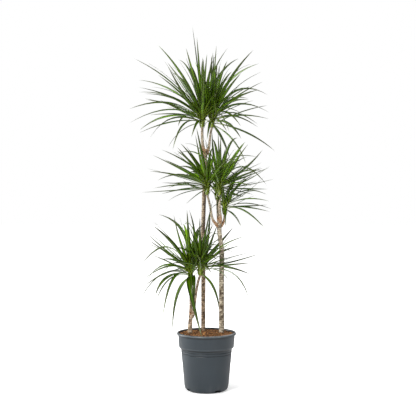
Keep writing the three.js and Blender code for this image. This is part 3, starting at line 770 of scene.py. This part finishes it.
def limb_mesh(canes, stations, sides, seed, warm, pale, is_branch):
    """One limb as a closed bmesh, its bark carved with leaf scars.

    A branch is swollen and rusty where it breaks out, and a stem is rusty round its cut end.
    """
    span = 0.0013
    swelling, swelling_reach = 0.013, 0.030
    cut_rim, smooth_end = 0.005, 0.004
    run, station = smooth_limb(stations)
    pitch = canes.scar_pitch * (0.55 if is_branch else 1)
    bm = bmesh.new()
    layers = bark_layers(bm)
    add_column(bm, sides, round(run / span))
    for vertex in bm.verts:
        along = run * vertex.co.z
        around = math.atan2(vertex.co.y, vertex.co.x) / math.tau % 1
        *centre, radius = station(along)
        height, shade = leaf_scar(pitch, around, along + seed)
        end = min(1, (run - along) / smooth_end)
        if is_branch:
            root = max(0, 1 - abs(along - swelling) / swelling_reach)
        else:
            root = max(0, 1 - (run - along) / cut_rim)
        lumps = noise.noise(Vector((3 * vertex.co.x, 3 * vertex.co.y, 110 * along + 9 * seed)))
        radius += canes.scar_height * (height - 0.4) * end * (0.6 if is_branch else 1)
        radius *= 1 + 0.03 * lumps + (0.12 + 0.14 * lumps) * root * is_branch
        outward = Vector((vertex.co.x, vertex.co.y, 0)).normalized()
        vertex.co = Vector(centre) + radius * outward
        vertex[layers["scar"]] = height * end
        vertex[layers["shade"]] = shade
        vertex[layers["warm"]] = warm
        vertex[layers["pale"]] = pale
        vertex[layers["collar"]] = min(0.9, 1.3 * root) * (pale + 0.1 if is_branch else 1)
    return bm


def carry_values(piece, limbs):
    """Gives a joined cane's vertices the bark values of the nearest vertex of its limbs."""
    values = []
    for limb in limbs:
        carried = bark_layers(limb).values()
        values += [(vertex.co, [vertex[layer] for layer in carried]) for vertex in limb.verts]
    tree = kdtree.KDTree(len(values))
    for number, (place, _) in enumerate(values):
        tree.insert(place, number)
    tree.balance()
    bm = bmesh.new()
    bm.from_mesh(piece.data)
    layers = bark_layers(bm)
    for vertex in bm.verts:
        near = tree.find(vertex.co)[1]
        for layer, value in zip(layers.values(), values[near][1]):
            vertex[layer] = value
    bm.to_mesh(piece.data)
    bm.free()


def bleach_and_shade(stem, pale_bands, shaded_sides):
    """Bleaches bands of a stem, from one height to another, and paints shade on one side of it there."""
    pale_edge, shade_edge = 0.012, 0.02
    deepest_shade = 0.92
    pale = stem.verts.layers.float["pale"]
    side_shade = stem.verts.layers.float["side_shade"]
    for vertex in stem.verts:
        for low, high, amount in pale_bands:
            into = clamp(min(vertex.co.z - low, high - vertex.co.z) / pale_edge)
            patchy = clamp(0.7 + 0.8 * noise.noise(vertex.co * 45))
            vertex[pale] = max(vertex[pale], amount * into * patchy)
        for low, high, heading in shaded_sides:
            into = clamp(min(vertex.co.z - low, high - vertex.co.z) / shade_edge)
            towards = Vector((math.cos(heading), math.sin(heading), 0)).dot(vertex.normal)
            ragged = clamp(4 * towards - 0.6 + 1.8 * noise.noise(vertex.co * 60))
            vertex[side_shade] = max(vertex[side_shade], deepest_shade * into * ragged)


def build_cane(canes, name, warm, pale_branches, pale_bands, shaded_sides):
    """A cane and its branches, joined into one skin."""
    stem_sides, branch_sides = 32, 22
    branch_warm = 0.8
    cane = CANES[name]
    finish = bpy.data.materials.get("Cane bark") or bark_finish(canes)
    stem_seed = sum(map(ord, name)) / 100
    stem = limb_mesh(canes, cane["stem"], stem_sides, stem_seed, warm, 0, is_branch=False)
    stem.normal_update()
    bleach_and_shade(stem, pale_bands, shaded_sides)
    limbs = [stem]
    for number, stations in enumerate(cane["branches"].values()):
        seed = number + 0.37
        branch = limb_mesh(canes, stations, branch_sides, seed, branch_warm, pale_branches, is_branch=True)
        limbs.append(branch)
    piece = make_piece("bark_" + name, stem.copy(), finish, "cane_" + name)
    for branch in limbs[1:]:
        combine(piece, branch.copy(), "UNION")
    carry_values(piece, limbs)
    for limb in limbs:
        limb.free()


# ---------- leaf heads


def leaf_layers(bm):
    """Makes the values that the leaf finish reads, and gives back the one for the place on a blade."""
    for name in ("tone", "age"):
        bm.verts.layers.float.new(name)
    return bm.loops.layers.uv.new("blade")


def blade_template():
    """A blade's skin as a mesh, and for each of its vertices the ring and the place in the section."""
    bm = bmesh.new()
    places = leaf_layers(bm)
    spans = len(BLADE_OUTLINE) - 1
    sides = len(BLADE_SECTION)
    add_column(bm, sides, spans)
    spots = {}
    for vertex in bm.verts:
        turn = math.atan2(vertex.co.y, vertex.co.x) / math.tau * sides - 0.5
        spots[vertex] = (round(vertex.co.z * spans), round(turn) % sides)
    for face in bm.faces:
        beneath = any(spots[vertex][1] == RIB for vertex in face.verts)
        for loop in face.loops:
            ring, spot = spots[loop.vert]
            across = 0.5 + 0.96 * BLADE_SECTION[spot][0] + (1 if beneath else 0)
            loop[places].uv = (across, BLADE_OUTLINE[ring][0])
    tip = [vertex for vertex in bm.verts if spots[vertex][0] == spans]
    bmesh.ops.pointmerge(bm, verts=tip, merge_co=(0, 0, 1))
    order = [spots[vertex] for vertex in bm.verts]
    mesh = bpy.data.meshes.new("blade")
    bm.to_mesh(mesh)
    bm.free()
    return mesh, order


def add_blade(bm, template, line, faces_up, width, tone, age):
    """Adds one blade along a parabola, with its upper face turned as a table of normals says."""
    mesh, order = template
    first = len(bm.verts)
    bm.from_mesh(mesh)
    bm.verts.ensure_lookup_table()
    layers = bm.verts.layers.float
    rings = []
    for along, broad in BLADE_OUTLINE:
        forward = direction(line, along)
        normal = at(faces_up, along)
        normal = (normal - normal.dot(forward) * forward).normalized()
        rings.append((parabola(line, along), normal.cross(forward), normal, width * broad))
    for number, (ring, spot) in enumerate(order):
        centre, side, normal, broad = rings[ring]
        across, high = BLADE_SECTION[spot]
        vertex = bm.verts[first + number]
        vertex.co = centre + broad * (across * side + high * normal)
        vertex[layers["tone"]] = tone
        vertex[layers["age"]] = age


def upper_face(line, side, roll):
    """Normals of a blade's upper face where it lies level across, rolled over towards its tip."""
    normals = []
    for along in (0, 0.25, 0.5, 0.75, 1):
        forward = direction(line, along)
        normals.append((along, Matrix.Rotation(roll * along, 3, forward) @ forward.cross(side).normalized()))
    return normals


def linked(vertex):
    return {edge.other_vert(vertex) for edge in vertex.link_edges}


def frame_blades(node):
    """The blades of a leaf head in the frame: each one's line, upper face's normals, width, and if it hangs.

    A blade is found by its tip, where three long edges meet, and read from there ring by ring.
    """
    shortest_edge = 0.02
    hanging_fall = 0.35
    near_rim, in_front = POT_TOP.z + 0.03, -0.09
    bm = bmesh.new()
    bm.from_mesh(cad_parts[node].data)
    bmesh.ops.remove_doubles(bm, verts=bm.verts, dist=2e-6)
    blades = []
    for tip in bm.verts:
        ring = linked(tip)
        if len(ring) != 3 or min((vertex.co - tip.co).length for vertex in ring) < shortest_edge:
            continue
        if any(len(ring & linked(vertex)) != 2 for vertex in ring):
            continue
        seen = {tip}
        along = 1
        points = [(along, tip.co.copy())]
        normals = []
        while len(ring) == 3 and len(points) < CAD_RINGS:
            along -= 1 / CAD_RINGS
            left, right = max(combinations(ring, 2), key=lambda pair: (pair[0].co - pair[1].co).length)
            (rib,) = ring - {left, right}
            middle = (left.co + right.co) / 2
            points.append((along, middle))
            normals.insert(0, (along, (middle - rib.co).normalized()))
            width = (left.co - right.co).length / at(CAD_WIDTHS, along)
            seen |= ring
            ring = set().union(*(linked(vertex) for vertex in ring)) - seen
        if len(points) > 2:
            line = [points[0], points[len(points) // 2], points[-1]]
            root = parabola(line, 0)
            hangs = root.z - tip.co.z > hanging_fall * (root - tip.co).length
            if hangs:
                normals = upper_face(line, UP.cross(tip.co - root).normalized(), 0)
            over_rim = tip.co.z < near_rim and tip.co.y < in_front
            blades.append((line, normals, width * (1.7 if over_rim else 1.1), hangs))
    bm.free()
    blades.sort(key=lambda blade: tuple(blade[0][0][1]))
    return blades


def start_shoot(leaves, foot, radius):
    """A bmesh with the shoot under the leaf bases: a stem that swells and tapers."""
    clear_of_branch = 0.0003
    stations = [(0, radius + 0.0006), (0.2, radius + 0.0032), (0.85, radius), (1, radius - 0.003)]
    bm = bmesh.new()
    places = leaf_layers(bm)
    add_column(bm, 16, 12)
    for vertex in bm.verts:
        thick = at(stations, vertex.co.z)
        height = clear_of_branch + leaves.core * vertex.co.z
        vertex.co = foot + Vector((thick * vertex.co.x, thick * vertex.co.y, height))
    for face in bm.faces:
        for loop in face.loops:
            loop[places].uv = (0.4, 0.1)
    return bm


def add_young_leaf(bm, template, foot, core, reach, wide, heading, youth, fullness, rng):
    """Adds a short leaf in the heart of a head: the younger, the higher, shorter and steeper it stands."""
    lift = math.radians(between(20, 84, youth) + rng.uniform(-6, 6))
    heading += rng.uniform(-0.3, 0.3)
    size = reach * between(0.78, 0.42, youth) * rng.uniform(0.85, 1.1)
    outward = Vector((math.cos(heading) * math.cos(lift), math.sin(heading) * math.cos(lift), math.sin(lift)))
    root = foot + core * between(0.08, 0.9, youth) * UP
    line = [(0, root), (0.5, root + size * (0.5 * outward + 0.05 * UP)), (1, root + size * outward)]
    normals = upper_face(line, UP.cross(outward).normalized(), rng.uniform(-0.7, 0.7))
    tone = rng.random() ** (1.2 * fullness)
    add_blade(bm, template, line, normals, wide * rng.uniform(0.7, 0.95), tone, 0.6 - 0.5 * youth)


def add_sheath(bm, template, foot, core, radius, heading, up, rng):
    """Adds the base of a fallen leaf, which still wraps the shoot."""
    width = 0.012
    out = Vector((math.cos(heading), math.sin(heading), 0))
    root = foot + (radius + 0.001) * out + core * between(-0.12, 0.6, up) * UP
    size = between(0.024, 0.058, up) * rng.uniform(0.85, 1.15)
    tip = root + size * (0.46 * out + UP * 0.89)
    line = [(0, root), (0.5, root.lerp(tip, 0.5) + 0.08 * size * (UP - out)), (1, tip)]
    normals = upper_face(line, UP.cross(out), 0)
    add_blade(bm, template, line, normals, width, rng.random() * 0.4, -between(1, 0.3, up))


def build_head(leaves, name, foot, radius, fullness, seed):
    """A leaf head: the blades of the frame's head, young leaves in its heart and bases round its shoot."""
    golden = math.radians(137.508)
    oldest = 1.3
    rng = random.Random(seed)
    template = blade_template()
    blades = frame_blades("head_" + name)
    finish = bpy.data.materials.get("Leaf") or leaf_finish(leaves)
    bm = start_shoot(leaves, foot, radius)
    for line, normals, width, hangs in blades:
        steep = (line[0][1] - foot).normalized().z
        age = oldest if hangs else max(0.1, min(1, between(1.0, 0.35, steep) + rng.uniform(-0.35, 0.3)))
        tone = rng.uniform(0.4 if hangs else 0.1, 1)
        add_blade(bm, template, line, normals, width * between(0.85, 1, fullness), tone, age)
    reach = sum((line[0][1] - foot).length for line, *_ in blades) / len(blades)
    wide = sum(width for _, _, width, _ in blades) / len(blades)
    young = round(leaves.young * fullness)
    for number in range(young):
        youth = (number + 0.5) / young
        add_young_leaf(bm, template, foot, leaves.core, reach, wide, number * golden, youth, fullness, rng)
    for number in range(leaves.sheaths):
        up = (number + 0.5) / leaves.sheaths
        add_sheath(bm, template, foot, leaves.core, radius, number * golden, up, rng)
    make_piece("foliage_" + name, bm, finish, "head_" + name, crease=math.radians(70))


# ---------- studio


def add_light(name, place, aim, size, power):
    light = bpy.data.lights.new(name, "AREA")
    light.shape = "DISK"
    light.size = size
    light.energy = power
    lamp = bpy.data.objects.new(name, light)
    lamp.location = place
    lamp.rotation_euler = (Vector(aim) - Vector(place)).to_track_quat("-Z", "Y").to_euler()
    bpy.context.scene.collection.objects.link(lamp)


def light_surround(tree, studio):
    """A white surround that lights the plant from above more than from the sides."""
    background = tree.nodes["Background"]
    outward = tree.nodes.new("ShaderNodeTexCoord").outputs["Generated"]
    height = tree.nodes.new("ShaderNodeSeparateXYZ")
    tree.links.new(outward, height.inputs[0])
    sky = tree.nodes.new("ShaderNodeMapRange")
    sky.inputs["From Min"].default_value = -0.1
    sky.inputs["To Min"].default_value = studio.side_light
    sky.inputs["To Max"].default_value = studio.sky_light
    tree.links.new(height.outputs["Z"], sky.inputs["Value"])
    seen = tree.nodes.new("ShaderNodeLightPath").outputs["Is Camera Ray"]
    strength = tree.nodes.new("ShaderNodeMath")
    strength.operation = "MAXIMUM"
    tree.links.new(sky.outputs["Result"], strength.inputs[0])
    tree.links.new(seen, strength.inputs[1])
    background.inputs["Color"].default_value = (1, 1, 1, 1)
    tree.links.new(strength.outputs["Value"], background.inputs["Strength"])


def build_floor(studio):
    """The floor: to the camera it looks whiter than its light makes it, the more so away from the pot."""
    finish = Finish("Floor", 0.9)
    grain = finish.noise(finish.place(), 300, 2)
    finish.surface("Base Color", finish.mix(grain, (0.78, 0.78, 0.78), (0.82, 0.82, 0.82)))
    finish.surface("Emission Color", (1, 1, 1))
    seen = finish.add("LightPath", {})
    away = finish.add("VectorMath", {0: finish.place()}, output=1, operation="LENGTH")
    glow = finish.fade(away, 0.09, 0.5, studio.floor_glow, 1)
    finish.surface("Emission Strength", finish.times(seen, glow))
    bm = bmesh.new()
    bmesh.ops.create_circle(bm, cap_ends=True, segments=96, radius=30)
    mesh = bpy.data.meshes.new("floor")
    bm.to_mesh(mesh)
    bm.free()
    mesh.materials.append(finish.material)
    floor = bpy.data.objects.new("floor", mesh)
    bpy.context.scene.collection.objects.link(floor)


def build_studio(studio):
    """The camera, the surround, the lights and the floor."""
    scene = bpy.context.scene
    view = bpy.data.cameras.new("front")
    view.lens = studio.lens
    camera = bpy.data.objects.new("front", view)
    camera.location = (studio.aside, -studio.distance, studio.height)
    camera.rotation_euler = (math.pi / 2, 0, 0)
    scene.collection.objects.link(camera)
    scene.camera = camera

    scene.world = bpy.data.worlds.new("surround")
    scene.world.use_nodes = True
    light_surround(scene.world.node_tree, studio)
    scene.view_settings.view_transform = "Standard"

    middle = (0, 0, 0.75)
    add_light("key", (-1.7, -2.7, 2.3), middle, 1.0, 104)
    add_light("fill", (2.2, -2.2, 1.5), middle, 1.4, 19)
    add_light("top", (0, -0.4, 3.6), middle, 1.8, 52)
    add_light("back", (0.8, 2.2, 2.2), middle, 1.4, 25)
    add_light("edge", (-2.9, 0.9, 0.7), middle, 1.2, 54)
    build_floor(studio)


# ---------- operators and panel


class DRACAENA_OT_pot(Operator):
    """Builds the nursery pot"""

    bl_idname = "dracaena.pot"
    bl_label = "Pot"

    def execute(self, context):
        build_pot(context.scene.dracaena.pot)
        return {"FINISHED"}


class DRACAENA_OT_soil(Operator):
    """Builds the bed of soil and the loose chips and fibres on it"""

    bl_idname = "dracaena.soil"
    bl_label = "Soil"

    def execute(self, context):
        build_soil(context.scene.dracaena.soil)
        strew_chips(context.scene.dracaena.soil)
        return {"FINISHED"}


class DRACAENA_OT_canes(Operator):
    """Builds the three canes with their branches"""

    bl_idname = "dracaena.canes"
    bl_label = "Canes"

    def execute(self, context):
        canes = context.scene.dracaena.canes
        right = math.radians(-25)
        # The tall cane's painted shade lies on its right side, from 0.62 m to 0.84 m.
        build_cane(canes, "tall", 0.9, 0.8, [(0.22, 0.27, 0.3), (0.63, 0.95, 0.7)], [(0.62, 0.84, right)])
        build_cane(canes, "medium", 0.15, 0.8, [(0.215, 0.27, 0.8), (0.45, 0.58, 0.3), (0.57, 0.69, 0.8)], [])
        build_cane(canes, "short", 0.85, 0.08, [(0.22, 0.3, 0.35)], [])
        return {"FINISHED"}


class DRACAENA_OT_heads(Operator):
    """Builds the eight leaf heads"""

    bl_idname = "dracaena.heads"
    bl_label = "Leaf heads"

    def execute(self, context):
        leaves = context.scene.dracaena.leaves
        fullness = {"tall": 0.9, "medium": 0.4, "short": 1.9}
        for cane_name, cane in CANES.items():
            for name, stations in cane["branches"].items():
                x, y, z, radius = (MM * value for value in stations[-1])
                build_head(leaves, name, Vector((x, y, z)), radius, fullness[cane_name], "leaves of " + name)
        return {"FINISHED"}


class DRACAENA_OT_studio(Operator):
    """Sets up the camera, the lights and the floor"""

    bl_idname = "dracaena.studio"
    bl_label = "Studio"

    def execute(self, context):
        build_studio(context.scene.dracaena.studio)
        return {"FINISHED"}


class DRACAENA_PT_plant(Panel):
    """The settings and operators of the potted dracaena"""

    bl_label = "Potted Dracaena"
    bl_space_type = "VIEW_3D"
    bl_region_type = "UI"
    bl_category = "Dracaena"

    def draw(self, context):
        parts = context.scene.dracaena
        operators = {"pot": "pot", "soil": "soil", "canes": "canes", "leaves": "heads", "studio": "studio"}
        for name, operator in operators.items():
            box = self.layout.box()
            settings = getattr(parts, name)
            for setting in settings.bl_rna.properties:
                if setting.identifier not in ("rna_type", "name"):
                    box.prop(settings, setting.identifier)
            box.operator("dracaena." + operator)


CLASSES = (
    PotSettings,
    SoilSettings,
    CaneSettings,
    LeafSettings,
    StudioSettings,
    DracaenaSettings,
    DRACAENA_OT_pot,
    DRACAENA_OT_soil,
    DRACAENA_OT_canes,
    DRACAENA_OT_heads,
    DRACAENA_OT_studio,
    DRACAENA_PT_plant,
)


def register():
    for part in CLASSES:
        bpy.utils.register_class(part)
    bpy.types.Scene.dracaena = PointerProperty(type=DracaenaSettings)


def unregister():
    del bpy.types.Scene.dracaena
    for part in reversed(CLASSES):
        bpy.utils.unregister_class(part)


def main():
    register()
    bpy.ops.dracaena.studio()
    bpy.ops.dracaena.pot()
    bpy.ops.dracaena.soil()
    bpy.ops.dracaena.canes()
    bpy.ops.dracaena.heads()


if __name__ == "__main__":
    main()
